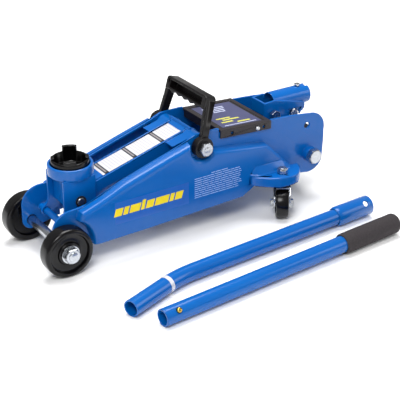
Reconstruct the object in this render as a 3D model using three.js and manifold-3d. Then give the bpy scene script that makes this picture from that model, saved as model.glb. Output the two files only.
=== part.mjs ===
// Two-tonne trolley jack with its two-piece handle lying beside it.
// Millimetres, +Z up, +X towards the handle socket. While it is built, x = 0 is the front axle,
// y = 0 the middle of the chassis and z = 0 the ground; the last lines move the origin.
// Pieces that come in pairs are drawn on the +Y side and mirrored for the -Y side.

import * as THREE from 'three';
import { mergeVertices } from 'three/addons/utils/BufferGeometryUtils.js';
import Module from 'manifold-3d';

const wasm = await Module();
wasm.setup();

// Driving dimensions
const sheet = 3;
const gap = 0.3;
const frameInner = 42;
const webOuter = 57;
const wheel = { radius: 32.5, inner: 46.4, outer: 67, bore: 6.9 };
const axle = { x: 0, z: 32.5, radius: 6.5, halfLength: 76 };
const fulcrum = { x: 202, z: 121 };
const pivotRadius = 9;
const armPin = { x: 38.6, z: 76.5 };
const armPinRadius = 5;
const linkBoss = { x: 12.5, z: 51 };
const linkRadius = 4.5;
const linkAnchor = { x: fulcrum.x + linkBoss.x - armPin.x, z: fulcrum.z + linkBoss.z - armPin.z };
const linkSide = 32;
const tailPin = { x: 223, z: 84.6 };
const tailPinRadius = 6;
const armHalfWidth = 20;
const saddle = { x: 38.6, floor: 109, hollow: 113, rim: 127, top: 135, radius: 24.4 };
const bracketInner = 21;
const ram = { z: 81.8, rodRadius: 8 };
const block = { front: 300, rear: 398, bottom: 50.3, top: 96, halfWidth: 28 };
const socketPivot = { x: 342, z: 120.6 };
const plungerPin = { x: 375, z: 116 };
const socket = { front: 327, tubeFront: 345, rear: 408, z: 134, radius: 13.3, bore: 11.6, cheek: 15.5 };
const tieBolt = { x: 382, z: 65 };
const caster = { x: 317, y: 73, wheelRadius: 20.5, wheelWidth: 17, trail: 6, turn: 57 };
const shelf = { top: 62.5, bottom: 48.5, reach: 88 };
const carryHandle = { inner: 46.3, outer: 52.5, top: 46.5, height: 65.5, lean: 16 };
const tubeRadius = 11;
const sleeveRadius = 13.5;
const lowerHandle = {
  bend: [99.8, -154.3, 11.52], heading: 3.2, tilt: 0.455, straight: 315.5, bent: 88, angle: 16.2,
};
const upperHandle = {
  start: [37, -221, 11.05], heading: 3.76, tilt: 0.512, length: 375, grip: 95, gripRadius: 13.5,
};

// Finishes
const finish = (color, roughness, metalness) =>
  new THREE.MeshStandardMaterial({ color, roughness, metalness });
const enamel = finish(0x0b57b8, 0.25, 0.1);
const zinc = finish(0xc8ccd0, 0.3, 1);
const steel = finish(0x8a8d92, 0.4, 1);
const blackPlastic = finish(0x1b1a1c, 0.4, 0);
const greyPlastic = finish(0x4a4246, 0.55, 0);
const castIron = finish(0x3a3d42, 0.7, 0.5);
const brass = finish(0xb8923a, 0.3, 1);
const foam = finish(0x3c383b, 0.9, 0);

// Solids: booleans

function solid(geometry) {
  const bare = geometry.clone();
  bare.deleteAttribute('normal');
  bare.deleteAttribute('uv');
  const merged = mergeVertices(bare, 1e-4);
  return new wasm.Manifold(new wasm.Mesh({
    numProp: 3,
    vertProperties: new Float32Array(merged.attributes.position.array),
    triVerts: new Uint32Array(merged.index.array),
  }));
}

function geometryOf(manifold) {
  const mesh = manifold.getMesh();
  const geometry = new THREE.BufferGeometry();
  geometry.setAttribute('position', new THREE.BufferAttribute(mesh.vertProperties, 3));
  geometry.setIndex(new THREE.BufferAttribute(mesh.triVerts, 1));
  geometry.computeVertexNormals();
  return geometry;
}

const join = (...parts) => geometryOf(parts.map(solid).reduce((a, b) => a.add(b)));
const cut = (base, ...tools) =>
  geometryOf([base, ...tools].map(solid).reduce((a, b) => a.subtract(b)));

// Solids: simple shapes placed in the jack's frame

function rodX(radius, from, to, y, z, sides = 16, farRadius = radius) {
  return new THREE.CylinderGeometry(farRadius, radius, to - from, sides)
    .rotateZ(-Math.PI / 2)
    .translate((from + to) / 2, y, z);
}

function rodY(radius, from, to, at, sides = 16, farRadius = radius) {
  return new THREE.CylinderGeometry(farRadius, radius, to - from, sides)
    .translate(at.x, (from + to) / 2, at.z);
}

function rodZ(radius, from, to, x, y, sides = 16, farRadius = radius) {
  return new THREE.CylinderGeometry(farRadius, radius, to - from, sides)
    .rotateX(Math.PI / 2)
    .translate(x, y, (from + to) / 2);
}

function box(x, y, z) {
  return new THREE.BoxGeometry(x[1] - x[0], y[1] - y[0], z[1] - z[0])
    .translate((x[0] + x[1]) / 2, (y[0] + y[1]) / 2, (z[0] + z[1]) / 2);
}

// A ring about the Y axis from [radius, y] pairs, listed with the outer wall running towards +Y.
function turnedY(profile, at, sides = 40) {
  const points = [...profile, profile[0]].map(([radius, y]) => new THREE.Vector2(radius, y));
  return new THREE.LatheGeometry(points, sides).translate(at.x, 0, at.z);
}

// The same about the Z axis, from [radius, z] pairs with the outer wall running upwards.
function turnedZ(profile, x, y, sides = 40) {
  const points = [...profile, profile[0]].map(([radius, z]) => new THREE.Vector2(radius, z));
  return new THREE.LatheGeometry(points, sides).rotateX(Math.PI / 2).translate(x, y, 0);
}

function extruded(loop, depth) {
  return new THREE.ExtrudeGeometry(new THREE.Shape(loop), { depth, bevelEnabled: false });
}

// Plates: a loop of (x, z) points between two y values, of (x, y) between two z, of (y, z) between two x.
function sidePlate(loop, from, to) {
  return extruded(loop, to - from).rotateX(Math.PI / 2).translate(0, to, 0);
}

function levelPlate(loop, from, to) {
  return extruded(loop, to - from).translate(0, 0, from);
}

function crossPlate(loop, from, to) {
  const axes = new THREE.Matrix4().makeBasis(
    new THREE.Vector3(0, 1, 0), new THREE.Vector3(0, 0, 1), new THREE.Vector3(1, 0, 0));
  return extruded(loop, to - from).applyMatrix4(axes).translate(from, 0, 0);
}

// Loops of points

function arc(x, z, radius, startDegrees, endDegrees, steps = 8) {
  return Array.from({ length: steps + 1 }, (_, i) => {
    const angle = THREE.MathUtils.degToRad(startDegrees + (endDegrees - startDegrees) * i / steps);
    return new THREE.Vector2(x + radius * Math.cos(angle), z + radius * Math.sin(angle));
  });
}

const point = (x, z) => new THREE.Vector2(x, z);

// Two round ends joined by their outer tangents.
function strap(p, pRadius, q, qRadius, steps = 6) {
  const toDegrees = THREE.MathUtils.radToDeg;
  const along = toDegrees(Math.atan2(q.z - p.z, q.x - p.x));
  const spread = toDegrees(Math.acos((pRadius - qRadius) / Math.hypot(q.x - p.x, q.z - p.z)));
  return [
    ...arc(p.x, p.z, pRadius, along + spread, along + 360 - spread, steps),
    ...arc(q.x, q.z, qRadius, along - spread, along + spread, steps),
  ];
}

// A polygon with every corner rounded: corners are [x, z, radius].
function roundedLoop(corners, steps = 4) {
  const shape = new THREE.Path();
  corners.forEach(([x, z, radius], i) => {
    const corner = point(x, z);
    const before = corners[(i + corners.length - 1) % corners.length];
    const after = corners[(i + 1) % corners.length];
    const start = corner.clone().add(point(before[0], before[1]).sub(corner).setLength(radius));
    const end = corner.clone().add(point(after[0], after[1]).sub(corner).setLength(radius));
    if (i === 0) shape.moveTo(start.x, start.y);
    else shape.lineTo(start.x, start.y);
    shape.quadraticCurveTo(x, z, end.x, end.y);
  });
  return shape.getPoints(steps);
}

// A counter-clockwise loop moved inwards by a distance.
function inset(loop, distance) {
  return loop.map((corner, i) => {
    const before = loop[(i + loop.length - 1) % loop.length];
    const after = loop[(i + 1) % loop.length];
    const arriving = corner.clone().sub(before).normalize();
    const leaving = after.clone().sub(corner).normalize();
    const inward = point(-arriving.y - leaving.y, arriving.x + leaving.x);
    return corner.clone().addScaledVector(inward, distance / (1 + arriving.dot(leaving)));
  });
}

// A pressed form between two counter-clockwise (x, z) loops with equal counts, at two y values.
function pressed(nearLoop, nearY, farLoop, farY) {
  const count = nearLoop.length;
  const positions = [
    ...nearLoop.flatMap((p) => [p.x, nearY, p.y]),
    ...farLoop.flatMap((p) => [p.x, farY, p.y]),
  ];
  const caps = THREE.ShapeUtils.triangulateShape(nearLoop, []);
  const faces = caps.flatMap(([a, b, c]) => [a, b, c, count + a, count + c, count + b]);
  for (let i = 0; i < count; i++) {
    const next = (i + 1) % count;
    faces.push(next, i, count + i, next, count + i, count + next);
  }
  const geometry = new THREE.BufferGeometry();
  geometry.setAttribute('position', new THREE.Float32BufferAttribute(positions, 3));
  geometry.setIndex(faces);
  return geometry;
}

// The assembly

const jack = new THREE.Group();

function add(name, geometry, material, parent = jack) {
  const mesh = new THREE.Mesh(geometry, material);
  mesh.name = name;
  parent.add(mesh);
  return mesh;
}

function addPair(name, geometry, material) {
  add(`${name}_right`, geometry, material);
  add(`${name}_left`, geometry, material).scale.y = -1;
}

// Side frames: a flat panel with its middle pressed outwards into a deep channel open at the bottom

const topLine = [[181, 130], [158, 122.5], [128, 113.5], [85, 100], [56, 88]];
const bottomLine = [[119, 29.7], [196, 32.3], [264, 34.5], [288, 48], [357, 48]];

function panelLoop() {
  return [
    ...arc(axle.x, axle.z, 12.5, 180, 280, 8),
    point(38, 28.5),
    ...bottomLine.map(([x, z]) => point(x, z)),
    point(364, 38),
    ...arc(384.5, 59, 24, 255, 340, 6),
    point(408.5, 84),
    ...arc(384, 99, 24.5, -10, 88, 8),
    point(349, 127.8),
    point(316, 130),
    point(315.2, 126.2),
    point(310, 125.4),
    point(236, 130.6),
    point(232.9, 131),
    point(232.7, 136.8),
    point(228, 137.4),
    point(197, 137),
    point(187, 133),
    ...topLine.map(([x, z]) => point(x, z)),
    point(38, 81.5),
    point(24, 79.4),
    ...arc(14, 52.4, 26.5, 88, 175, 8),
  ];
}

function channelLoop(drop) {
  return [
    point(38, 28.5 - drop),
    ...bottomLine.map(([x, z]) => point(x, z - drop)),
    point(304, 102),
    ...arc(fulcrum.x, fulcrum.z, 17, -28, -228, 9),
    ...topLine.map(([x, z]) => point(x, z)),
    point(38, 81.5),
    point(24, 77),
    ...arc(axle.x, axle.z, 38, 58, 6, 6),
  ];
}

function sideFrame() {
  const draft = 2.5;
  const outer = channelLoop(0);
  const inner = inset(channelLoop(14), sheet);
  const panel = join(
    sidePlate(panelLoop(), frameInner, frameInner + sheet),
    rodY(10.5, frameInner + 1, 55, tieBolt),
    pressed(outer, frameInner, inset(outer, draft), webOuter));
  return cut(panel,
    pressed(inner, frameInner - 1, inset(inner, draft), webOuter - sheet),
    rodY(axle.radius + 0.4, 40, 48, axle),
    rodY(pivotRadius + 0.4, 40, 48, fulcrum),
    rodY(4.5, 40, 48, { x: 378, z: 107 }),
    rodY(6.4, 40, 60, tieBolt));
}

addPair('side_frame', sideFrame(), enamel);

// Front axle and wheels

add('front_axle', rodY(axle.radius, -axle.halfLength, axle.halfLength, axle, 24), zinc);

function frontWheel() {
  const { radius, inner, outer, bore } = wheel;
  return turnedY([
    [bore, inner], [radius - 2.5, inner], [radius, inner + 3], [radius, outer - 3], [radius - 3, outer],
    [26, outer], [24, outer - 4.5], [15.5, outer - 4.5], [14, outer - 1], [bore, outer - 1],
  ], axle, 32);
}

function hexNut(across, bore, from, to, at) {
  return cut(rodY(across / Math.sqrt(3), from, to, at, 6), rodY(bore, from - 1, to + 1, at, 16));
}

addPair('front_wheel', frontWheel(), blackPlastic);
addPair('front_washer', turnedY([[6.9, 66.3], [12, 66.3], [12, 68], [6.9, 68]], axle, 20), zinc);
addPair('front_nut', hexNut(19, 6.9, 68.3, 74.5, axle), zinc);

// Lift arm: inverted channel from the fulcrum tube to the saddle pin, with a tail that the ram pushes

const armDirection = new THREE.Vector2(armPin.x - fulcrum.x, armPin.z - fulcrum.z).normalize();

// A point at a distance along the arm from the fulcrum and a height above its centre line.
function armPoint(along, above) {
  return point(
    fulcrum.x + armDirection.x * along + armDirection.y * above,
    fulcrum.z + armDirection.y * along - armDirection.x * above);
}

function liftArm() {
  const cheekLoops = [
    strap(fulcrum, 15, armPin, 11.5),
    strap(fulcrum, 15, tailPin, 10),
    [[8, 0], [8, -14], [40, -26], [95, -23], [150, -11], [150, 0]].map(([s, h]) => armPoint(s, h)),
  ];
  const cheeks = [-armHalfWidth, armHalfWidth - sheet].flatMap((from) =>
    cheekLoops.map((loop) => sidePlate(loop, from, from + sheet)));
  const top = sidePlate([armPoint(-4, 9.6), armPoint(160, 8.4), armPoint(160, 11.4), armPoint(-4, 12.6)],
    -armHalfWidth, armHalfWidth);
  const lip = sidePlate([armPoint(-2, 9.6), armPoint(0, 12.6), armPoint(-3, 17), armPoint(-6, 16)],
    -armHalfWidth - 4, armHalfWidth + 4);
  const ears = [-1, 1].map((side) => {
    const outline = [armPoint(-4, 12.6), armPoint(-4, 6), armPoint(34, 12.3), armPoint(34, 12.4)];
    const flare = [side * (armHalfWidth - 1), side * 37].sort((a, b) => a - b);
    return sidePlate(outline, ...flare);
  });
  return cut(join(...cheeks, top, lip, ...ears, rodY(14, -41, 41, fulcrum, 20)),
    rodY(pivotRadius + 0.4, -45, 45, fulcrum, 20),
    rodY(armPinRadius + 0.3, -45, 45, armPin),
    rodY(tailPinRadius + 0.3, -45, 45, tailPin));
}

add('lift_arm', liftArm(), enamel);
add('arm_pivot_shaft', rodY(pivotRadius, -46, 46, fulcrum, 20), steel);
add('tail_pin', rodY(tailPinRadius, -22.7, 22.7, tailPin), steel);

// Saddle bracket: two legs and a front web under a round cup, kept level by the lower link

function bracketLegLoop() {
  return [
    point(15.5, 108), point(15.5, 69), point(12.5, 60),
    ...arc(linkBoss.x, linkBoss.z, 7.5, 130, 290, 8),
    point(42, 59), point(61, 67), point(61, 108),
  ];
}

function saddleBracket() {
  const outer = bracketInner + sheet;
  const legs = [-outer, bracketInner].map((from) => sidePlate(bracketLegLoop(), from, from + sheet));
  const web = box([17, 20], [-22, 22], [81, 108]);
  const cup = turnedZ([
    [9, 105], [25, 105], [29.3, 108.5], [29.3, 119], [28.4, 121.5], [25.6, 121.5], [25.6, 108.7], [9, 108.7],
  ], saddle.x, 0, 24);
  return cut(join(...legs, web, cup),
    rodY(armPinRadius + 0.3, -30, 30, armPin),
    rodY(linkRadius + 0.6, -30, 30, linkBoss));
}

function saddlePad() {
  const { x, floor, hollow, rim, top, radius } = saddle;
  const body = turnedZ([
    [0, 99], [8.6, 99], [8.6, floor], [radius, floor], [radius, rim], [21, rim], [19.5, hollow], [0, hollow],
  ], x, 0, 24);
  const lugs = [[64, 24, top], [244, 20, top - 4], [154, 14, rim + 2], [334, 14, rim + 2]]
    .map(([degrees, spread, height]) => levelPlate([
      ...arc(x, 0, 24.1, degrees - spread, degrees + spread, 4),
      ...arc(x, 0, 19.2, degrees + spread, degrees - spread, 4),
    ], hollow - 1, height));
  return join(body, ...lugs);
}

const snapRing = turnedY([[5.2, 24.3], [7.4, 24.3], [7.4, 25.7], [5.2, 25.7]], armPin, 16);

add('saddle_bracket', saddleBracket(), enamel);
add('bracket_pin', rodY(armPinRadius, -26.6, 26.6, armPin), steel);
addPair('snap_ring', snapRing, blackPlastic);
add('saddle', saddlePad(), blackPlastic);
add('saddle_washer', rodZ(11, 96.2, 98.7, saddle.x, 0), zinc);

// Lower link: a bent bar whose crossbar holds the foot of the saddle bracket

function lowerLink() {
  const run = point(linkAnchor.x - linkBoss.x, linkAnchor.z - linkBoss.z);
  const sides = [-linkSide, linkSide].flatMap((y) => [
    rodX(linkRadius - 0.3, 0, run.length() - 5, 0, 0, 12)
      .rotateY(-run.angle())
      .translate(linkBoss.x, y, linkBoss.z),
    rodY(9, y - 2.5, y + 2.5, linkAnchor),
  ]);
  const reach = linkSide + linkRadius;
  return cut(join(rodY(linkRadius, -reach, reach, linkBoss), ...sides), rodY(5.4, -40, 40, linkAnchor));
}

add('lower_link', lowerLink(), enamel);
addPair('link_pin', join(
  rodY(5, 27.8, 53.5, linkAnchor, 16),
  rodY(8, 37, 53.5, linkAnchor, 20)), steel);

// Hydraulic unit: ram, its two concentric tubes and the pump block behind them

function ramCrosshead() {
  const head = box([211.5, 240], [-12, 12], [68, 96]);
  const ears = box([tailPin.x + 11.3, 240], [-35, 35], [68, 78]);
  const slot = box([tailPin.x - 6.9, tailPin.x + 6.9], [-13, 13], [71.8, 92]);
  return cut(join(head, ears), slot);
}

add('ram_crosshead', ramCrosshead(), castIron);
add('ram_rod', join(
  rodX(ram.rodRadius, 240.3, 297, 0, ram.z),
  rodX(12.9, 296.5, 304.5, 0, ram.z, 20)), steel);
add('gland_nut', cut(
  rodX(25, 244, 253, 0, ram.z, 20),
  rodX(8.4, 243, 254, 0, ram.z)), steel);
add('ram_cylinder', cut(
  rodX(17, 253.3, 306, 0, ram.z, 20),
  rodX(13.2, 250, 310, 0, ram.z, 20)), steel);
add('reservoir_tube', cut(
  rodX(25, 253.3, block.front - gap, 0, ram.z, 28),
  rodX(22.5, 250, 305, 0, ram.z, 28),
  rodZ(5.3, 100, 110, 278, 0)), enamel);
add('filler_plug', join(
  rodZ(4.9, 101, 108, 278, 0),
  rodZ(7, 107.2, 109.5, 278, 0)), blackPlastic);

function pumpBlock() {
  const { front, rear, bottom, top, halfWidth } = block;
  const body = box([front, rear], [-halfWidth, halfWidth], [bottom, top]);
  const head = rodX(26.5, front, 312, 0, ram.z, 24);
  const lug = sidePlate([
    point(socketPivot.x - 7.5, top - 6), point(socketPivot.x + 7.5, top - 6),
    ...arc(socketPivot.x, socketPivot.z, 7.5, 0, 180, 10),
  ], -8, 8);
  const bosses = rodY(11, -frameInner + gap, frameInner - gap, tieBolt);
  return cut(join(body, head, lug, bosses, rodZ(12, top - 2, top + 4, plungerPin.x, 0)),
    rodX(17.4, front - 1, 306.4, 0, ram.z, 20),
    rodY(4.3, -10, 10, socketPivot),
    rodZ(8.3, 57, top + 5, plungerPin.x, 0),
    rodX(6.4, 386, rear + 1, 0, 84),
    rodY(6.4, 15, 45, tieBolt),
    rodY(6.4, -45, -15, tieBolt));
}

function plunger() {
  return cut(join(rodZ(8, 60, 112, plungerPin.x, 0), rodY(8, -7, 7, plungerPin)),
    rodY(4.2, -10, 10, plungerPin));
}

add('pump_block', pumpBlock(), castIron);
add('pump_plunger', plunger(), steel);
add('plunger_pin', join(
  rodY(3.9, -19, 19, plungerPin),
  rodY(6, -20.5, -18, plungerPin)), zinc);
add('release_valve', join(
  rodX(6, 387, 402, 0, 84, 20),
  box([401, 407], [-2, 2], [79, 89])), steel);
add('base_plate', box([262, 345], [-frameInner + gap, frameInner - gap], [47, 50]), enamel);
add('socket_pivot_bolt', join(
  rodY(4, -20, 20, socketPivot),
  rodY(8, -22.5, -16.4, socketPivot, 6)), zinc);

function returnSpring() {
  return cut(rodX(4, 240.4, 299.5, 30, 73, 14), rodX(2.6, 230, 310, 30, 73, 12));
}

addPair('return_spring', returnSpring(), steel);

// Handle socket: a round tube that opens forwards into a forked yoke

function handleSocket() {
  const { front, tubeFront, rear, z, radius, bore, cheek } = socket;
  const cheekLoop = [
    point(front, 139.5), point(front, 113), point(333, 109), point(384, 107.5),
    point(396, 121), point(396, 128), point(356, 138), point(345, 141),
  ];
  const cheeks = [-cheek, cheek - sheet].map((from) => sidePlate(cheekLoop, from, from + sheet));
  const web = box([front, front + sheet], [-cheek, cheek], [121.5, 139.5]);
  const tube = rodX(radius, tubeFront, rear, 0, z, 28);
  const lug = sidePlate(arc(399, 115.5, 7.5, 0, 337.5, 15), -2.5, 2.5);
  const hollow = box([front + sheet, 389], [-cheek + sheet, cheek - sheet], [100, z]);
  return cut(join(cut(join(...cheeks, web, tube), hollow), lug),
    rodX(bore, tubeFront - 1, rear + 1, 0, z, 28),
    box([404, 430], [-4.5, 4.5], [z + 8, z + 20]),
    rodZ(2.2, z + 5, z + 20, 393, 0, 12),
    rodY(4.4, -30, 30, socketPivot),
    box([plungerPin.x - 4.6, plungerPin.x + 12.4], [-30, 30], [104.4, 121.4]));
}

add('handle_socket', handleSocket(), enamel);
add('clamp_screw', join(
  rodZ(2, socket.z + socket.bore + 0.4, 148.5, 393, 0, 12),
  rodZ(4, 147.8, 150.5, 393, 0, 12)), zinc);

// Cover over the hydraulic unit

function coverTray() {
  const slope = (x) => 134.6 - (x - 234) * 0.055;
  const span = [233.4, 314.8];
  const half = 47.8;
  const strip = (from, to, above, below) => sidePlate([
    point(from, slope(from) - below), point(to, slope(to) - below),
    point(to, slope(to) + above), point(from, slope(from) + above),
  ], -half, half);
  const body = strip(...span, 0, 12);
  const under = sidePlate([
    point(span[0] + 2.2, 100), point(span[1] - 2.2, 100),
    point(span[1] - 2.2, slope(span[1]) - 3.4), point(span[0] + 2.2, slope(span[0]) - 3.4),
  ], -half + 2.4, half - 2.4);
  const label = sidePlate([
    point(span[0] + 7, slope(span[0] + 7) - 1.2), point(span[1] - 7, slope(span[1] - 7) - 1.2),
    point(span[1] - 7, 140), point(span[0] + 7, 140),
  ], -half + 7, half - 7);
  const holes = [-1, 1].flatMap((side) => [252, 303].map((x) =>
    rodY(2.2, side * half - 3, side * half + 3, { x, z: slope(x) - 7 }, 12)));
  const slots = [-1, 1].flatMap((side) => span.map((x) =>
    box([x - 4, x + 4], [side * 43.55 - 1.85, side * 43.55 + 1.85], [100, slope(x) - 3.4])));
  return cut(body, under, label, ...holes, ...slots);
}

add('cover', coverTray(), greyPlastic);
addPair('cover_screw', rodY(3.2, 48.1, 50.3, { x: 292, z: 124.5 }, 16), zinc);

// Carry handle: a moulded bail on the fulcrum, leaning back

function carryBail() {
  const { inner, outer, top, height, lean } = carryHandle;
  const origin = { x: 0, z: 0 };
  const thick = outer - inner;
  const legLoop = [point(inner, 0), point(outer, 0), point(outer, 18), point(top, 56),
    point(top - thick, 56), point(inner, 18)];
  const mirrored = legLoop.map((p) => point(-p.x, p.y)).reverse();
  const legs = [legLoop, mirrored].map((loop) => crossPlate(loop, -6, 6));
  const hubs = [-58, inner].map((from) => rodY(13.8, from, from + 58 - inner, origin, 20));
  const waves = Array.from({ length: 21 }, (_, i) => {
    const y = -36 + i * 3.6;
    return point(y, 47.4 - 1.4 * Math.cos(y * Math.PI * 5 / 36));
  });
  const bar = crossPlate([...waves, point(top, 48), point(top, height - 2), point(top - 3, height),
    point(3 - top, height), point(-top, height - 2), point(-top, 48)], -8.5, 7.5);
  const hollow = box([-10, 4.5], [-38, 38], [51.5, 62]);
  return cut(join(...legs, ...hubs, bar), hollow, rodY(5.4, -60, 60, origin, 20))
    .rotateY(THREE.MathUtils.degToRad(lean))
    .translate(fulcrum.x, 0, fulcrum.z);
}

add('carry_handle', carryBail(), blackPlastic);
addPair('pivot_bolt', join(
  rodY(5, 46.3, 60, fulcrum),
  rodY(17 / Math.sqrt(3), 58.4, 64.5, fulcrum, 6)), zinc);

// Rear bolts that hold the pump block, each through the boss on its side frame

addPair('rear_bolt', join(
  rodY(6, 20, 58, tieBolt),
  rodY(19 / Math.sqrt(3), 55.3, 63.5, tieBolt, 6)), zinc);

// Casters: a shelf pressed out from each side frame, a swivelling fork and its wheel

function casterShelf() {
  const wall = webOuter + gap;
  const corners = [
    [270, wall, 12], [354, wall, 5], [348, 74, 10], [332, shelf.reach, 8], [303, shelf.reach, 15],
  ];
  const innerCorners = inset(corners.map(([x, y]) => point(x, y)), sheet)
    .map((corner, i) => [corner.x, corner.y, corners[i][2] * 0.7]);
  const atWeb = [[274, 50], [348, 50], [346, 60], [325, 75], [284, 75], [277, 70]];
  const atShelf = [[280, 50], [344, 50], [342, 58], [323, shelf.top], [289, shelf.top], [283, 60]];
  const root = pressed(
    atWeb.map(([x, z]) => point(x, z)), wall, atShelf.map(([x, z]) => point(x, z)), wall + 7.6);
  return cut(join(levelPlate(roundedLoop(corners), shelf.bottom, shelf.top), root),
    levelPlate(roundedLoop(innerCorners), 40, shelf.top - sheet),
    rodZ(5.5, 40, 80, caster.x, caster.y));
}

function casterFork() {
  const cheeks = [-11.8, 9.3].map((from) =>
    sidePlate([point(-12, 46), ...arc(-caster.trail, caster.wheelRadius, 8, 195, 345, 6), point(9, 46)],
      from, from + 2.5));
  const top = box([-12, 10], [-11.8, 11.8], [43.7, 46.2]);
  const race = rodZ(11, 46, shelf.top - sheet - gap, 0, 0, 18, 9);
  const stem = rodZ(5, 58, shelf.top + 8, 0, 0);
  return cut(join(...cheeks, top, race, stem),
    rodY(3.3, -20, 20, { x: -caster.trail, z: caster.wheelRadius }));
}

function casterWheel() {
  const { wheelRadius, wheelWidth, trail } = caster;
  const half = wheelWidth / 2;
  return turnedY([
    [3.4, -half], [wheelRadius - 2, -half], [wheelRadius, -half + 2], [wheelRadius, half - 2],
    [wheelRadius - 2, half], [3.4, half],
  ], { x: -trail, z: wheelRadius }, 28);
}

function casterAxle() {
  const at = { x: -caster.trail, z: caster.wheelRadius };
  return join(rodY(3, -14, 14, at), rodY(5.5, -15.6, -12.1, at, 6), rodY(5.5, 12.1, 15.6, at, 6));
}

addPair('caster_shelf', casterShelf(), enamel);
addPair('caster_nut', hexNut(13, 5.2, 0, 6.5, { x: 0, z: 0 }).rotateX(Math.PI / 2)
  .translate(caster.x, caster.y, shelf.top + gap + 6.5), zinc);

for (const [side, sign] of [['left', -1], ['right', 1]]) {
  const swivel = new THREE.Group();
  swivel.position.set(caster.x, sign * caster.y, 0);
  swivel.rotation.z = THREE.MathUtils.degToRad(caster.turn);
  jack.add(swivel);
  add(`caster_fork_${side}`, casterFork(), zinc, swivel);
  add(`caster_wheel_${side}`, casterWheel(), blackPlastic, swivel);
  add(`caster_axle_${side}`, casterAxle(), zinc, swivel);
}

// Handle in two halves, lying on the ground beside the jack

function handleGroup([x, y, z], heading, tilt) {
  const group = new THREE.Group();
  group.position.set(x, y, z);
  group.rotation.set(0, -THREE.MathUtils.degToRad(tilt), THREE.MathUtils.degToRad(heading), 'ZYX');
  jack.add(group);
  return group;
}

function lowerTube() {
  const { straight, bent, angle } = lowerHandle;
  const turn = THREE.MathUtils.degToRad(angle);
  const path = new THREE.CurvePath();
  const start = new THREE.Vector3(-bent * Math.cos(turn), -bent * Math.sin(turn), 0);
  const end = new THREE.Vector3(straight - 30, 0, 0);
  const before = start.clone().setLength(24);
  path.add(new THREE.LineCurve3(start, before));
  path.add(new THREE.QuadraticBezierCurve3(before, new THREE.Vector3(), new THREE.Vector3(24, 0, 0)));
  path.add(new THREE.LineCurve3(new THREE.Vector3(24, 0, 0), end));
  const section = (radius) => new THREE.Shape(arc(0, 0, radius, 0, 324, 9));
  const swept = (radius) => new THREE.ExtrudeGeometry(section(radius),
    { steps: 16, extrudePath: path, bevelEnabled: false });
  return cut(swept(tubeRadius - 0.2), swept(tubeRadius - 2));
}

const lower = handleGroup(lowerHandle.bend, lowerHandle.heading, lowerHandle.tilt);
add('handle_lower_tube', lowerTube(), enamel, lower);
add('handle_sleeve', cut(rodX(sleeveRadius, lowerHandle.straight - 60, lowerHandle.straight, 0, 0, 24),
  rodX(11.5, lowerHandle.straight - 70, lowerHandle.straight + 1, 0, 0, 24),
  rodZ(4, 5, 20, lowerHandle.straight - 12, 0, 16).rotateX(Math.PI / 4)), enamel, lower);

const upper = handleGroup(upperHandle.start, upperHandle.heading, upperHandle.tilt);
const gripStart = upperHandle.length - upperHandle.grip;
add('handle_upper_tube', cut(rodX(tubeRadius, 0, upperHandle.length - 3, 0, 0, 24),
  rodX(tubeRadius - 2, -1, upperHandle.length - 5, 0, 0, 24),
  rodZ(3.6, 5, 15, 18, 0, 16).rotateX(Math.PI / 4)), enamel, upper);
add('grip_sleeve', cut(rodX(upperHandle.gripRadius, gripStart, upperHandle.length, 0, 0, 24),
  rodX(tubeRadius + gap, gripStart - 1, upperHandle.length - 2.6, 0, 0, 24)), foam, upper);
add('snap_button', rodZ(3.2, 7, 14.2, 18, 0, 16).rotateX(Math.PI / 4), brass, upper);

// The origin goes to the middle of the whole set's footprint, on the ground.
const bounds = new THREE.Box3().setFromObject(jack, true);
const centre = bounds.getCenter(new THREE.Vector3());
jack.position.set(-centre.x, -centre.y, -bounds.min.z);

export default jack;
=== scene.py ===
import math
import random

import bmesh
import bpy
from mathutils import Matrix, Vector


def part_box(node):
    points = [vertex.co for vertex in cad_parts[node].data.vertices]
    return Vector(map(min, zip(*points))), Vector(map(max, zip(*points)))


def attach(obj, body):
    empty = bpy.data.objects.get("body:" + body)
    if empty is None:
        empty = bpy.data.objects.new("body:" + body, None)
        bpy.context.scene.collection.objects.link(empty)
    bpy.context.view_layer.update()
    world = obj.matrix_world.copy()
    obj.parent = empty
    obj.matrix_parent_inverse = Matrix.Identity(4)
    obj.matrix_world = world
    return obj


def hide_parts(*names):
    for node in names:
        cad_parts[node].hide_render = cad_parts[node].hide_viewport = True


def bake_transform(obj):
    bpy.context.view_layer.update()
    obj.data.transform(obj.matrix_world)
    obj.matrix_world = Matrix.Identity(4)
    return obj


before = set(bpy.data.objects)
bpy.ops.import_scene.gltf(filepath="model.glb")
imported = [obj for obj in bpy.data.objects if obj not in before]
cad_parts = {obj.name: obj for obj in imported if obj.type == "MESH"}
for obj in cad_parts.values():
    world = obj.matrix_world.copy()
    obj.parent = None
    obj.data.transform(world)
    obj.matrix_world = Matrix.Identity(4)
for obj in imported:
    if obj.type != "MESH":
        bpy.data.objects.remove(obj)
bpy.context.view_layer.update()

mm = 0.001
axleHeight = 32.5  # the front axle's centre stands this high, in mm
axleLow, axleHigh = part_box("front_axle")
axleCentre = (axleLow + axleHigh) / 2
jackOrigin = Vector((axleCentre.x, axleCentre.y, axleCentre.z - axleHeight * mm))


def jackPoint(x, y, z):
    # millimetres from the front axle, the middle plane and the ground
    return jackOrigin + Vector((x, y, z)) * mm


# Node and colour helpers

def hexToLinear(hexCode):
    channels = [int(hexCode[i:i + 2], 16) / 255 for i in (1, 3, 5)]
    linear = [c / 12.92 if c <= 0.04045 else ((c + 0.055) / 1.055) ** 2.4 for c in channels]
    return (*linear, 1.0)


def addNode(tree, kind, settings=None, links=None):
    node = tree.nodes.new(kind)
    for name, value in (settings or {}).items():
        if name in node.inputs:
            node.inputs[name].default_value = value
        else:
            setattr(node, name, value)
    for name, source in (links or {}).items():
        tree.links.new(source, node.inputs[name])
    return node


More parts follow.
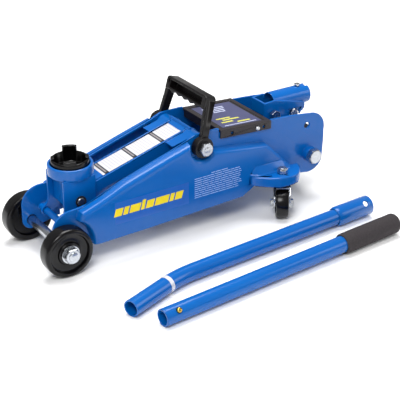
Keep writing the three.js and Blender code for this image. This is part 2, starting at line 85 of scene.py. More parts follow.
def perMillimetre(size):
    return 1 / (size * mm)  # a texture scale whose feature is this many millimetres


def makeFinish(name, look):
    material = bpy.data.materials.new(name)
    material.use_nodes = True
    tree = material.node_tree
    tree.nodes.clear()
    place = addNode(tree, "ShaderNodeTexCoord").outputs["Object"]
    cloud = addNode(tree, "ShaderNodeTexNoise",
                    {"Scale": perMillimetre(look["cloudMm"]), "Detail": 3.0}, {"Vector": place})
    grain = addNode(tree, "ShaderNodeTexNoise",
                    {"Scale": perMillimetre(look["grainMm"]), "Detail": 2.0}, {"Vector": place})
    colour = addNode(tree, "ShaderNodeMix",
                     {"data_type": "RGBA"}, {"Factor": cloud.outputs["Fac"]})
    colour.inputs[6].default_value = hexToLinear(look["colour"])
    colour.inputs[7].default_value = hexToLinear(look["shade"])
    gloss = addNode(tree, "ShaderNodeMapRange",
                    {"To Min": look["roughness"][0], "To Max": look["roughness"][1]},
                    {"Value": grain.outputs["Fac"]})
    bump = addNode(tree, "ShaderNodeBump",
                   {"Strength": look["bump"], "Distance": look["bumpMm"] * mm},
                   {"Height": grain.outputs["Fac"]})
    shader = addNode(tree, "ShaderNodeBsdfPrincipled",
                     {"Metallic": look.get("metallic", 0.0), "Coat Weight": look.get("coat", 0.0),
                      "Coat Roughness": look.get("coatRoughness", 0.05)},
                     {"Base Color": colour.outputs[2], "Roughness": gloss.outputs["Result"],
                      "Normal": bump.outputs["Normal"]})
    if "ior" in look:
        shader.inputs["IOR"].default_value = look["ior"]
    addNode(tree, "ShaderNodeOutputMaterial", None, {"Surface": shader.outputs["BSDF"]})
    material["slot"] = look.get("slot", "")
    return material


# Powder-coat enamel, sprayed on pressed steel and baked: deep blue, wet shine with a faint orange peel.
blueEnamel = makeFinish("blue powder-coat enamel", {
    "slot": "blue_enamel", "colour": "#0060B0", "shade": "#0055A4", "cloudMm": 60, "grainMm": 3.0,
    "roughness": (0.18, 0.24), "bump": 0.04, "bumpMm": 0.02, "coat": 0.1, "ior": 1.38})
# Bright zinc plate on turned steel: pale silver, a little cloudy.
zincPlate = makeFinish("bright zinc plate", {
    "slot": "zinc_plate", "colour": "#D2D5D9", "shade": "#989CA3", "cloudMm": 4, "grainMm": 0.7,
    "roughness": (0.16, 0.34), "bump": 0.12, "bumpMm": 0.04, "metallic": 1.0})
# Ground steel with a film of oil: darker silver, fine tool marks.
groundSteel = makeFinish("ground steel", {
    "slot": "bright_steel", "colour": "#A9ABAE", "shade": "#7D8084", "cloudMm": 6, "grainMm": 0.5,
    "roughness": (0.22, 0.4), "bump": 0.15, "bumpMm": 0.04, "metallic": 1.0})
# Sand-cast iron, machined on its faces: dark grey, matt and pitted.
castIron = makeFinish("sand-cast iron", {
    "slot": "cast_iron", "colour": "#3B3E43", "shade": "#26282C", "cloudMm": 9, "grainMm": 0.9,
    "roughness": (0.5, 0.75), "bump": 0.5, "bumpMm": 0.15, "metallic": 0.7})
# Injection-moulded nylon: black with a clear shine and faint flow clouds.
mouldedNylon = makeFinish("moulded black nylon", {
    "slot": "black_plastic_wheel", "colour": "#060507", "shade": "#0B0A0C", "cloudMm": 18,
    "grainMm": 0.8, "roughness": (0.18, 0.28), "bump": 0.1, "bumpMm": 0.04, "ior": 1.36})
# Injection-moulded polypropylene: warm black, a fine spark-eroded texture.
mouldedPolypropylene = makeFinish("moulded black polypropylene", {
    "slot": "black_plastic", "colour": "#0C0A0B", "shade": "#120F0F", "cloudMm": 22, "grainMm": 0.7,
    "roughness": (0.26, 0.38), "bump": 0.2, "bumpMm": 0.05, "ior": 1.38})
# Hard rubbery plastic of the saddle: black and glossy.
saddlePlastic = makeFinish("moulded saddle plastic", {
    "slot": "black_plastic", "colour": "#030303", "shade": "#060506", "cloudMm": 10, "grainMm": 1.6,
    "roughness": (0.12, 0.2), "bump": 0.08, "bumpMm": 0.04, "ior": 1.34})
# Moulded ABS of the cover: warm dark grey with a low sheen.
mouldedAbs = makeFinish("moulded grey ABS", {
    "slot": "grey_plastic", "colour": "#282225", "shade": "#201B1E", "cloudMm": 26, "grainMm": 0.6,
    "roughness": (0.3, 0.42), "bump": 0.25, "bumpMm": 0.05, "ior": 1.45})
# Closed-cell foam sleeve: charcoal, dull and open-pored.
foamRubber = makeFinish("closed-cell foam", {
    "slot": "foam_grip", "colour": "#383336", "shade": "#282426", "cloudMm": 3, "grainMm": 0.9,
    "roughness": (0.8, 0.95), "bump": 0.7, "bumpMm": 0.25, "ior": 1.45})
# Turned brass of the snap button: warm gold, polished by use.
turnedBrass = makeFinish("turned brass", {
    "slot": "brass", "colour": "#D8B45A", "shade": "#B08A36", "cloudMm": 2, "grainMm": 0.4,
    "roughness": (0.18, 0.32), "bump": 0.1, "bumpMm": 0.02, "metallic": 1.0})


def printed(name, colour, shade, roughness=(0.28, 0.36)):
    # printed vinyl: a flat ink under a thin clear film, also used for the painted groove shade
    return makeFinish(name, {
        "colour": colour, "shade": shade, "cloudMm": 12, "grainMm": 0.6,
        "roughness": roughness, "bump": 0.03, "bumpMm": 0.02, "coat": 0.2, "ior": 1.5})


whiteVinyl = printed("white vinyl film", "#D2D2D6", "#CACBD0")
greyInk = printed("dark grey ink", "#23262E", "#30333C")
paleInk = printed("pale grey ink", "#B0AAB4", "#B9B3BD")
decalFilm = printed("dark blue vinyl film", "#055CB4", "#0452A8")
yellowInk = printed("yellow ink", "#F6DC00", "#E8CC00")
whiteInk = printed("white ink", "#B4CEF4", "#9CBEEC")
violetVinyl = printed("violet-grey vinyl film", "#484A70", "#3A3E62")
midInk = printed("mid grey ink", "#8C8688", "#9A9496")
labelWhite = printed("white label ink", "#CED4EA", "#B4BCDC")
labelYellow = printed("yellow label ink", "#DEDA60", "#C2BE4E")
# painted shade: a near-black matt film for the shaded groove round the cover label
paintedGrooveShade = printed("painted groove shade", "#0D0C0E", "#151416", (0.5, 0.6))
print("materials made")


# Mesh helpers

def finishPiece(name, mesh, material, body, bevel=0.0, segments=2, replaces=(), corner=35):
    for polygon in mesh.polygons:
        polygon.use_smooth = True
    mesh.materials.clear()
    mesh.materials.append(material)
    piece = bpy.data.objects.new(name, mesh)
    bpy.context.scene.collection.objects.link(piece)
    markCorners(mesh, corner)
    if bevel:
        modifier = piece.modifiers.new("edges", "BEVEL")
        modifier.width = bevel * mm
        modifier.segments = segments
        modifier.limit_method = "ANGLE"
        modifier.angle_limit = math.radians(corner)
        modifier.use_clamp_overlap = False
        modifier.harden_normals = True
    if body:
        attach(piece, body)
    if replaces:
        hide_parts(*replaces)
    return piece


def markCorners(mesh, degrees):
    work = bmesh.new()
    work.from_mesh(mesh)
    limit = math.radians(degrees)
    for edge in work.edges:
        edge.smooth = len(edge.link_faces) == 2 and edge.calc_face_angle(0) < limit
    work.to_mesh(mesh)
    work.free()


def meshFrom(name, points, faces):
    mesh = bpy.data.meshes.new(name)
    mesh.from_pydata([tuple(p) for p in points], [], faces)
    mesh.validate()
    work = bmesh.new()
    work.from_mesh(mesh)
    bmesh.ops.remove_doubles(work, verts=work.verts, dist=0.005 * mm)
    bmesh.ops.recalc_face_normals(work, faces=work.faces)
    work.to_mesh(mesh)
    work.free()
    return mesh


def cleanCopy(node):
    # the CAD solid with its shared corners welded and no stored normals
    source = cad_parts[node].data
    return meshFrom(node, [v.co for v in source.vertices], [tuple(p.vertices) for p in source.polygons])


def refined(node, material, body, bevel=0.6, segments=2, corner=35):
    return finishPiece(node + "_fine", cleanCopy(node), material, body, bevel, segments, (node,), corner)


def frameAlong(direction):
    forward = Vector(direction).normalized()
    helper = Vector((0, 0, 1)) if abs(forward.z) < 0.9 else Vector((1, 0, 0))
    side = helper.cross(forward).normalized()
    return forward, side, forward.cross(side)


def turnedMesh(name, profile, base, direction, sides=72):
    # profile pairs are (radius, distance along the axis) in mm; the ring closes on itself
    forward, side, up = frameAlong(direction)
    points = []
    for step in range(sides):
        angle = 2 * math.pi * step / sides
        outward = side * math.cos(angle) + up * math.sin(angle)
        points += [Vector(base) + (outward * radius + forward * along) * mm for radius, along in profile]
    count = len(profile)
    faces = []
    for step in range(sides):
        nextStep = (step + 1) % sides
        for i in range(count):
            j = (i + 1) % count
            if profile[i][0] == 0 and profile[j][0] == 0:
                continue
            faces.append((step * count + i, step * count + j,
                          nextStep * count + j, nextStep * count + i))
    return meshFrom(name, points, faces)


def ringProfile(inner, outer, low, high):
    return [(inner, low), (outer, low), (outer, high), (inner, high)]


def boxOutline(x, y):
    return [(x[0], y[0]), (x[1], y[0]), (x[1], y[1]), (x[0], y[1])]


def prismMesh(name, outline, low, high, place):
    # an outline of (a, b) pairs between two heights; place turns (a, b, height) into a point
    count = len(outline)
    points = [place(a, b, low) for a, b in outline] + [place(a, b, high) for a, b in outline]
    faces = [tuple(range(count)), tuple(range(count, 2 * count))]
    faces += [(i, (i + 1) % count, count + (i + 1) % count, count + i) for i in range(count)]
    return meshFrom(name, points, faces)


def joinMeshes(name, meshes):
    work = bmesh.new()
    for mesh in meshes:
        work.from_mesh(mesh)
    joined = bpy.data.meshes.new(name)
    work.to_mesh(joined)
    work.free()
    return joined


def drilled(mesh, cutters, added=()):
    # joins the added meshes to the mesh, then takes each cutter out of it, with exact booleans
    host = bpy.data.objects.new("host", mesh)
    bpy.context.scene.collection.objects.link(host)
    tools = []
    for tool, operation in [(m, "UNION") for m in added] + [(m, "DIFFERENCE") for m in cutters]:
        toolObject = bpy.data.objects.new("tool", tool)
        bpy.context.scene.collection.objects.link(toolObject)
        modifier = host.modifiers.new("step", "BOOLEAN")
        modifier.operation = operation
        modifier.solver = "EXACT"
        modifier.object = toolObject
        tools.append(toolObject)
    bpy.context.view_layer.update()
    result = bpy.data.meshes.new_from_object(host.evaluated_get(bpy.context.evaluated_depsgraph_get()))
    for item in [host, *tools]:
        bpy.data.objects.remove(item)
    return result


def sweptMesh(name, path, radius, sides=16, bore=0.0):
    # a round bar along a path of points, or a tube when it has a bore
    rings = []
    forward = (path[1] - path[0]).normalized()
    _, side, up = frameAlong(forward)
    for i, centre in enumerate(path):
        ahead = path[min(i + 1, len(path) - 1)] - path[max(i - 1, 0)]
        turn = forward.rotation_difference(ahead.normalized())
        forward, side, up = ahead.normalized(), turn @ side, turn @ up
        rings.append((centre, side.copy(), up.copy()))
    walls = [radius] + ([bore] if bore else [])
    points = []
    for wall in walls:
        for centre, side, up in rings:
            for step in range(sides):
                angle = 2 * math.pi * step / sides
                points.append(centre + (side * math.cos(angle) + up * math.sin(angle)) * wall * mm)
    faces = []
    layer = len(rings) * sides
    for wall in range(len(walls)):
        for i in range(len(rings) - 1):
            for step in range(sides):
                a = wall * layer + i * sides + step
                b = wall * layer + i * sides + (step + 1) % sides
                faces.append((a, b, b + sides, a + sides))
    last = (len(rings) - 1) * sides
    if bore:
        for start in (0, last):
            for step in range(sides):
                a, b = start + step, start + (step + 1) % sides
                faces.append((a, b, layer + b, layer + a))
    else:
        faces += [tuple(range(sides)), tuple(range(last, last + sides))]
    return meshFrom(name, points, faces)


def hexHeadMesh(name, base, direction, across, height, bore=0.0):
    # a hexagon with its corners turned off to a round face, as a rolled bolt head or nut has
    forward, side, up = frameAlong(direction)
    corner = across / math.sqrt(3)
    chamfer = height * 0.16

    def ring(radius, along, count, offset=0.0):
        return [Vector(base) + ((side * math.cos(a) + up * math.sin(a)) * radius + forward * along) * mm
                for a in [2 * math.pi * i / count + offset for i in range(count)]]

    points = ring(corner, 0, 6) + ring(corner, height - chamfer, 6) + ring(across * 0.47, height, 24)
    faces = [tuple(range(6))]
    for i in range(6):
        j = (i + 1) % 6
        faces.append((i, j, 6 + j, 6 + i))
        arc = [12 + (4 * i + k) % 24 for k in range(5)]
        faces.append((6 + i, 6 + j, *reversed(arc)))
    if bore:
        points += ring(bore, height, 24)
        faces += [(12 + k, 12 + (k + 1) % 24, 36 + (k + 1) % 24, 36 + k) for k in range(24)]
        faces.append(tuple(range(36, 60)))
    else:
        faces.append(tuple(range(12, 36)))
    return meshFrom(name, points, faces)


bothSides = (("left", -1), ("right", 1))

# Where the jack's pins stand, in mm: along from the front axle, and height
fulcrum = (202, 121)
armPin = (38.6, 76.5)
tailPin = (223, 84.6)
linkFoot = (12.5, 51)
tieBolt = (382, 65)
bossHole = (378, 107)


# Camera, floor and light

cameraValues = {
    "place": (-522.76, -1157.67, 722.97), "forward": (0.48607, 0.74513, -0.45664),
    "lens": 101.7, "sensor": 36, "reach": 20}


def makeCamera():
    data = bpy.data.cameras.new("camera")
    data.lens = cameraValues["lens"]
    data.sensor_width = cameraValues["sensor"]
    data.clip_end = cameraValues["reach"]
    camera = bpy.data.objects.new("camera", data)
    bpy.context.scene.collection.objects.link(camera)
    camera.location = jackPoint(*cameraValues["place"])
    camera.rotation_euler = Vector(cameraValues["forward"]).to_track_quat("-Z", "Y").to_euler()
    bpy.context.scene.camera = camera
    bpy.context.scene.view_settings.view_transform = "Standard"


studio = {
    "floor": "#FAFAFA", "floorHalf": 6.0, "floorDrop": 0.2, "sky": "#FFFFFF", "skyStrength": 0.36,
    "softBoxes": [  # place, aim, size in m and power in W
        ("keyBox", (-0.9, -0.9, 1.5), (0.0, 0.0, 0.05), 0.7, 22),
        ("topBox", (0.15, 0.35, 1.6), (0.0, 0.0, 0.05), 1.0, 28),
        ("sideBox", (1.3, -0.9, 0.7), (0.1, 0.0, 0.05), 0.7, 5),
    ]}


def makeStudio():
    half = studio["floorHalf"]
    floor = bpy.data.meshes.new("floor")
    floor.from_pydata([(-half, -half, 0), (half, -half, 0), (half, half, 0), (-half, half, 0)], [],
                      [(0, 1, 2, 3)])
    floorObject = bpy.data.objects.new("floor", floor)
    floorObject.location.z = -studio["floorDrop"] * mm
    bpy.context.scene.collection.objects.link(floorObject)
    # Matt white paint on a smooth studio floor.
    floor.materials.append(makeFinish("painted studio floor", {
        "colour": studio["floor"], "shade": studio["floor"], "cloudMm": 400, "grainMm": 5,
        "roughness": (0.6, 0.7), "bump": 0.02, "bumpMm": 0.1}))
    world = bpy.data.worlds.new("studio")
    bpy.context.scene.world = world
    world.use_nodes = True
    background = world.node_tree.nodes["Background"]
    background.inputs["Color"].default_value = hexToLinear(studio["sky"])
    background.inputs["Strength"].default_value = studio["skyStrength"]
    for name, place, aim, width, power in studio["softBoxes"]:
        data = bpy.data.lights.new(name, "AREA")
        data.size = width
        data.energy = power
        light = bpy.data.objects.new(name, data)
        light.location = place
        light.rotation_euler = (Vector(aim) - Vector(place)).to_track_quat("-Z", "Y").to_euler()
        bpy.context.scene.collection.objects.link(light)


makeCamera()
makeStudio()
print("camera and studio made")


# Side frames: pressed sheet, the channel's shoulders widely rounded

sideFrameValues = {
    "panel": (42.0, 45.0), "web": 57.0, "sheet": 3.0, "draft": 1.5, "shoulder": 5.0, "steps": 6,
    "edge": 0.6, "skirt": 14.0, "bossRadius": 10.5, "bossEnd": 55.0, "hubRadius": 17, "archRadius": 38}
frameTop = [(181, 130), (158, 122.5), (128, 113.5), (85, 100), (56, 88)]
frameBottom = [(119, 29.7), (196, 32.3), (264, 34.5), (288, 48), (357, 48)]
# place, radius and how far out each hole goes
frameHoles = [((0, axleHeight), 6.9, 48), (fulcrum, 9.4, 48), (bossHole, 4.5, 48), (tieBolt, 6.4, 60)]


def arcPoints(x, z, radius, start, end, steps):
    angles = [math.radians(start + (end - start) * i / steps) for i in range(steps + 1)]
    return [(x + radius * math.cos(a), z + radius * math.sin(a)) for a in angles]


def panelOutline():
    return [
        *arcPoints(0, axleHeight, 12.5, 180, 280, 16), (38, 28.5), *frameBottom, (364, 38),
        *arcPoints(384.5, 59, 24, 255, 340, 12), (408.5, 84), *arcPoints(384, 99, 24.5, -10, 88, 16),
        (349, 127.8), (316, 130), (315.2, 126.2), (310, 125.4), (236, 130.6), (232.9, 131),
        (232.7, 136.8), (228, 137.4), (197, 137), (187, 133), *frameTop, (38, 81.5), (24, 79.4),
        *arcPoints(14, 52.4, 26.5, 88, 175, 16),
    ]


def channelOutline():
    # the pressed channel, run on below its open lower edge
    v = sideFrameValues
    skirt = v["skirt"]
    lastX, lastZ = frameBottom[-1]
    return [
        (38, 28.5 - skirt), *[(x, z - skirt) for x, z in frameBottom[:-1]],
        (lastX + skirt, lastZ - skirt), (304, 102),
        *arcPoints(*fulcrum, v["hubRadius"], -28, -180, 8), (184, 130), *frameTop[1:],
        (38, 81.5), (24, 77), *arcPoints(0, axleHeight, v["archRadius"], 58, 6, 6),
    ]


def insetLoop(loop, distance):
    moved = []
    for i, corner in enumerate(loop):
        corner = Vector(corner)
        arriving = (corner - Vector(loop[i - 1])).normalized()
        leaving = (Vector(loop[(i + 1) % len(loop)]) - corner).normalized()
        inward = Vector((-arriving.y - leaving.y, arriving.x + leaving.x))
        moved.append(corner + inward * distance / (1 + arriving.dot(leaving)))
    return moved


def loftMesh(name, rings, place):
    # loops of equal counts at growing heights, capped at both ends
    count = len(rings[0][0])
    points = [place(a, b, height) for loop, height in rings for a, b in loop]
    faces = [tuple(range(count)), tuple(range(len(points) - count, len(points)))]
    for level in range(len(rings) - 1):
        for i in range(count):
            a, b = level * count + i, level * count + (i + 1) % count
            faces.append((a, b, b + count, a + count))
    return meshFrom(name, points, faces)


def channelForm(sign, start, web, shoulder, inwards):
    # the channel as a solid whose shoulder is rounded where the sides turn into the web
    v = sideFrameValues
    outline = channelOutline()
    heights = [(start, 0.0)]
    for step in range(v["steps"] + 1):
        turn = math.radians(90 * step / v["steps"])
        heights.append((web - shoulder * (1 - math.sin(turn)), shoulder * (1 - math.cos(turn))))
    rings = []
    for height, rounding in heights:
        draft = v["draft"] * (height - v["panel"][0]) / (v["web"] - v["panel"][0])
        rings.append((insetLoop(outline, inwards + draft + rounding), height))
    return loftMesh("channel", rings, lambda a, b, h: jackPoint(a, sign * h, b))


def makeSideFrame(side, sign):
    v = sideFrameValues
    near, far = v["panel"]
    web, sheet, shoulder, bossRadius, bossEnd = (
        v[key] for key in ("web", "sheet", "shoulder", "bossRadius", "bossEnd"))

    def place(a, b, h):
        return jackPoint(a, sign * h, b)

    below = prismMesh("below", [(20, 28.2), *frameBottom, (376, 48), (376, 8), (20, 8)],
                      near - 2, web + 1, place)
    channel = drilled(channelForm(sign, near, web, shoulder, 0), [below])
    boss = turnedMesh("boss", [(0, near + 1), (bossRadius, near + 1), (bossRadius, bossEnd - 0.8),
                               (bossRadius - 0.8, bossEnd), (0, bossEnd)],
                      jackPoint(tieBolt[0], 0, tieBolt[1]), (0, sign, 0), 48)
    hollow = channelForm(sign, near - 1, web - sheet, shoulder - sheet, sheet)
    holes = [turnedMesh("hole", [(0, 40), (radius, 40), (radius, end), (0, end)],
                        jackPoint(x, 0, z), (0, sign, 0), 48) for (x, z), radius, end in frameHoles]
    panel = prismMesh("panel", panelOutline(), near, far, place)
    finishPiece(f"sideFrame_{side}", drilled(panel, [hollow, *holes], [channel, boss]), blueEnamel,
                "chassis", v["edge"], 3, (f"side_frame_{side}",), 40)


def makeSideFrames():
    for side, sign in bothSides:
        makeSideFrame(side, sign)


# Printed decals: thin films and ink shapes that lie on the enamel

sideDecal = {
    "x": (69, 178), "z": (48.5, 79), "barStart": 67, "barHeight": 10.6, "tallBar": (3, 1.25),
    "slant": 3.2, "baseZ": 59.5, "widths": (11, 7, 15, 5, 11, 20, 6, 11), "gap": 2.0}
noticeBlock = {
    "x": (187, 261), "z": (53, 86), "rows": 11, "ink": 0.75, "dash": (5, 13), "ragged": 6, "gap": 1.1,
    "titleInset": (26, 22)}


def webPlace(sign, lift):
    return lambda a, b, h: jackPoint(a, sign * (sideFrameValues["web"] + lift + h), b)


def decalBars(sign):
    # a plain row of slanted blocks, one of them taller
    d = sideDecal
    bars = []
    x = d["barStart"]
    tallIndex, tallness = d["tallBar"]
    for index, width in enumerate(d["widths"]):
        rise = d["barHeight"] * (tallness if index == tallIndex else 1.0)
        low = d["baseZ"]
        outline = [(x, low), (x + width, low), (x + width + d["slant"], low + rise),
                   (x + d["slant"], low + rise)]
        bars.append(prismMesh("bar", outline, 0, 0.08, webPlace(sign, 0.1)))
        x += width + d["gap"]
    return joinMeshes("bars", bars)


def noticeLines(sign, generator):
    # rows of short dashes in place of small print, the top row shorter
    n = noticeBlock
    left, right = n["x"]
    low, high = n["z"]
    pitch = (high - low) / n["rows"]
    rows = []
    for row in range(n["rows"]):
        z = low + row * pitch
        title = row == n["rows"] - 1
        x = left + (n["titleInset"][0] if title else 0)
        end = right - (n["titleInset"][1] if title else generator.uniform(0, n["ragged"]))
        while x < end:
            dash = min(generator.uniform(*n["dash"]), end - x)
            rows.append(prismMesh("dash", boxOutline((x, x + dash), (z, z + n["ink"])),
                                  0, 0.06, webPlace(sign, 0.03)))
            x += dash + n["gap"]
    return joinMeshes("rows", rows)


def makeSideDecals():
    generator = random.Random(5)
    for side, sign in bothSides:
        film = prismMesh("film", boxOutline(sideDecal["x"], sideDecal["z"]), 0, 0.06,
                         webPlace(sign, 0.02))
        finishPiece(f"decalFilm_{side}", film, decalFilm, "chassis")
        finishPiece(f"decalBars_{side}", decalBars(sign), yellowInk, "chassis")
        finishPiece(f"noticeLines_{side}", noticeLines(sign, generator), whiteInk, "chassis")


# Front axle and wheels

frontWheel = {
    "radius": 32.5, "inner": 46.4, "outer": 67.0, "bore": 6.9, "washer": (12, 66.3, 1.7),
    "nut": (19, 68.3, 6.2, 6.6), "axleRadius": 6.5, "axleHalf": 76}


def frontWheelProfile():
    w = frontWheel
    face = w["outer"] - w["inner"]
    tread = w["radius"]
    return [
        (w["bore"], 0), (13.5, 0), (14, 3.5), (23.5, 3.5), (24.5, 0), (tread - 2.5, 0),
        (tread - 0.9, 0.8), (tread - 0.1, 2.4), (tread, 4), (tread, face - 5), (tread - 0.3, face - 2.6),
        (tread - 1.3, face - 0.9), (tread - 2.9, face - 0.1), (27.6, face), (26.6, face - 0.5),
        (25.8, face - 2.2), (25.2, face - 4.4), (24.2, face - 4.9), (17.5, face - 4.6),
        (15.6, face - 4.0), (15.0, face - 1.6), (14.4, face - 1.0), (w["bore"], face - 1.0),
    ]


def makeFrontWheels():
    w = frontWheel
    washerRadius, washerAt, washerThick = w["washer"]
    nutAcross, nutAt, nutHeight, nutBore = w["nut"]
    for side, sign in bothSides:
        out = (0, sign, 0)
        wheel = turnedMesh("wheel", frontWheelProfile(),
                           jackPoint(0, sign * w["inner"], axleHeight), out, 96)
        finishPiece(f"frontWheel_{side}", wheel, mouldedNylon, f"front_wheel_{side}", 0.35, 2,
                    (f"front_wheel_{side}",))
        washer = turnedMesh("washer", ringProfile(w["bore"], washerRadius, 0, washerThick),
                            jackPoint(0, sign * washerAt, axleHeight), out, 64)
        finishPiece(f"frontWasher_{side}", washer, zincPlate, "chassis", 0.3, 2,
                    (f"front_washer_{side}",))
        nut = hexHeadMesh("nut", jackPoint(0, sign * nutAt, axleHeight), out,
                          nutAcross, nutHeight, nutBore)
        finishPiece(f"frontNut_{side}", nut, zincPlate, "chassis", 0.3, 2, (f"front_nut_{side}",), 28)
    radius, half = w["axleRadius"], w["axleHalf"]
    ends = [(0, -half), (radius - 1.9, -half), (radius - 0.7, 0.6 - half), (radius, 2 - half),
            (radius, half - 2), (radius - 0.7, half - 0.6), (radius - 1.9, half), (0, half)]
    axle = turnedMesh("axle", ends, jackPoint(0, 0, axleHeight), (0, 1, 0), 64)
    finishPiece("frontAxle", axle, zincPlate, "chassis", 0, 2, ("front_axle",))


# Saddle, its bracket and pins

bracketValues = {
    "legs": (21.0, 24.0), "pinHole": 5.6, "footHole": 5.1, "web": (24, 27), "webHeights": (66, 106)}
saddleValues = {  # each lug has a heading, a spread and a top
    "lugs": ((64, 24, 135.0), (244, 20, 131.0), (154, 14, 129.0), (334, 14, 129.0)),
    "lugBase": 112.5, "lugRadii": (19.3, 24.1), "washer": (11, 96.2, 98.7)}


def legOutline():
    foot = arcPoints(*linkFoot, 7.5, 130, 290, 10)
    return [(15.5, 108), (15.5, 69), (14.6, 64), (12.0, 60.5), *foot, (30, 55), (42, 59), (61, 67),
            (61, 108)]


def makeSaddleBracket():
    v = bracketValues
    cup = turnedMesh("cup", [
        (9, 105), (25, 105), (27.4, 105.9), (28.9, 107.4), (29.3, 109), (29.3, 118.6), (28.9, 120.6),
        (27.9, 121.4), (26.4, 121.5), (25.6, 121.0), (25.6, 108.7), (9, 108.7),
    ], jackPoint(armPin[0], 0, 0), (0, 0, 1), 96)
    finishPiece("saddleCup", cup, blueEnamel, "saddle_bracket", 0.3, 2, ("saddle_bracket",))
    for side, sign in bothSides:
        middle = sign * sum(v["legs"]) / 2
        holes = [turnedMesh("hole", ringProfile(0, radius, -6, 6), jackPoint(x, middle, z),
                            (0, 1, 0), 40)
                 for (x, z), radius in ((armPin, v["pinHole"]), (linkFoot, v["footHole"]))]
        leg = prismMesh("leg", legOutline(), *v["legs"], lambda a, b, h: jackPoint(a, sign * h, b))
        finishPiece(f"bracketLeg_{side}", drilled(leg, holes), blueEnamel, "saddle_bracket",
                    0.8, 3, ("saddle_bracket",), 40)
    web = prismMesh("web", boxOutline(v["web"], (-21.2, 21.2)), *v["webHeights"], jackPoint)
    finishPiece("bracketWeb", web, blueEnamel, "saddle_bracket", 0.6, 2, ("saddle_bracket",))


def saddleLug(heading, spread, top):
    v = saddleValues
    inner, outer = v["lugRadii"]
    outline = [*arcPoints(0, 0, outer, heading - spread, heading + spread, 12),
               *arcPoints(0, 0, inner, heading + spread, heading - spread, 12)]
    return prismMesh("lug", outline, v["lugBase"], top, lambda a, b, h: jackPoint(armPin[0] + a, b, h))


def makeSaddle():
    base = jackPoint(armPin[0], 0, 0)
    body = turnedMesh("saddleBody", [
        (0, 99), (8.6, 99), (8.6, 109), (23, 109), (24.1, 109.6), (24.4, 111), (24.4, 125.6),
        (24.0, 126.8), (22.9, 127.2), (21.4, 127), (20.7, 126), (19.6, 114.6), (18.4, 113.1), (0, 113),
    ], base, (0, 0, 1), 96)
    parts = [body, *[saddleLug(*lug) for lug in saddleValues["lugs"]]]
    finishPiece("saddlePad", joinMeshes("saddle", parts), saddlePlastic, "saddle", 1.1, 3, ("saddle",))
    radius, low, high = saddleValues["washer"]
    washer = turnedMesh("washer", ringProfile(0, radius, low, high), base, (0, 0, 1), 48)
    finishPiece("saddleWasher", washer, zincPlate, "saddle", 0.3, 2, ("saddle_washer",))


pinValues = {  # body, place, radius and half length of each pin
    "bracket_pin": ("saddle_bracket", armPin, 5, 26.6),
    "tail_pin": ("lift_arm", tailPin, 6, 22.7),
    "arm_pivot_shaft": ("chassis", fulcrum, 9, 46),
}
snapRing = {"radii": (5.2, 7.4), "from": 24.3, "to": 25.7}


def makeArmPins():
    for node, (body, (x, z), radius, half) in pinValues.items():
        profile = [(0, -half), (radius - 0.8, -half), (radius, 0.8 - half), (radius, half - 0.8),
                   (radius - 0.8, half), (0, half)]
        pin = turnedMesh(node, profile, jackPoint(x, 0, z), (0, 1, 0), 48)
        finishPiece(node + "_turned", pin, groundSteel, body, 0, 2, (node,))
    for side, sign in bothSides:
        ring = turnedMesh("ring", ringProfile(*snapRing["radii"], snapRing["from"], snapRing["to"]),
                          jackPoint(armPin[0], 0, armPin[1]), (0, sign, 0), 48)
        finishPiece(f"snapRing_{side}", ring, castIron, "saddle_bracket", 0.25, 2,
                    (f"snap_ring_{side}",))


# Lift arm with its printed label

armLabel = {
    "start": 6.0, "end": 127.0, "half": 18.6, "firstBar": 3.4, "pitch": 43.0, "line": 1.9, "bar": 5.8,
    "sections": 3, "print": 0.15, "rows": 7, "rowPitch": 4.1, "rowWidth": 0.7, "rowStart": 10}
armLine = Vector((armPin[0] - fulcrum[0], 0, armPin[1] - fulcrum[1])).normalized()


def armPlace(lift):
    # a is the distance from the fulcrum along the arm, b is across it, h stands off its top sheet
    def place(a, b, h):
        above = 12.6 - (a + 4) * 1.2 / 164 + lift + h
        return jackPoint(fulcrum[0] + armLine.x * a + armLine.z * above, b,
                         fulcrum[1] + armLine.z * a - armLine.x * above)
    return place


def makeArmLabel():
    v = armLabel
    half, line = v["half"], v["line"]
    low, high = -half + 2, half - 1.5
    film = prismMesh("film", boxOutline((v["start"], v["end"]), (-half, half)), 0, 0.06, armPlace(0.05))
    finishPiece("armLabel", film, whiteVinyl, "lift_arm")
    darkBars = []
    fills = []
    paleLines = []
    for section in range(v["sections"]):
        edge = v["end"] - v["firstBar"] - section * v["pitch"]
        start = edge - v["bar"]
        for a, b, heap in (((edge - line, edge), (low, high), darkBars),
                           ((start, start + line), (low, high), darkBars),
                           ((start, edge), (low, low + 5), darkBars),
                           ((start + line, edge - line), (low + 5, high), fills)):
            heap.append(prismMesh("bar", boxOutline(a, b), 0, 0.05, armPlace(v["print"])))
        for row in range(v["rows"]):
            at = edge - v["rowStart"] - row * v["rowPitch"]
            outline = boxOutline((at - v["rowWidth"], at), (-half + 5 + (row % 3) * 2, half - 2))
            paleLines.append(prismMesh("line", outline, 0, 0.05, armPlace(v["print"])))
    finishPiece("armLabelBars", joinMeshes("bars", darkBars), greyInk, "lift_arm")
    finishPiece("armLabelFills", joinMeshes("fills", fills), midInk, "lift_arm")
    finishPiece("armLabelLines", joinMeshes("lines", paleLines), paleInk, "lift_arm")


# Hydraulic unit and its springs

springValues = {
    "from": 240.9, "to": 299.2, "y": 30, "z": 73, "coil": 3.3, "wire": 0.65, "turns": 17, "perTurn": 14}


def makeSprings():
    v = springValues
    steps = v["turns"] * v["perTurn"]
    for side, sign in bothSides:
        y, z = sign * v["y"], v["z"]
        path = []
        for i in range(steps + 1):
            angle = 2 * math.pi * v["turns"] * i / steps
            path.append(jackPoint(v["from"] + (v["to"] - v["from"]) * i / steps,
                                  y + v["coil"] * math.cos(angle), z + v["coil"] * math.sin(angle)))
        spring = finishPiece(f"returnSpring_{side}", sweptMesh("spring", path, v["wire"], 8),
                             groundSteel, None)
        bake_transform(spring)
        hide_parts(f"return_spring_{side}")


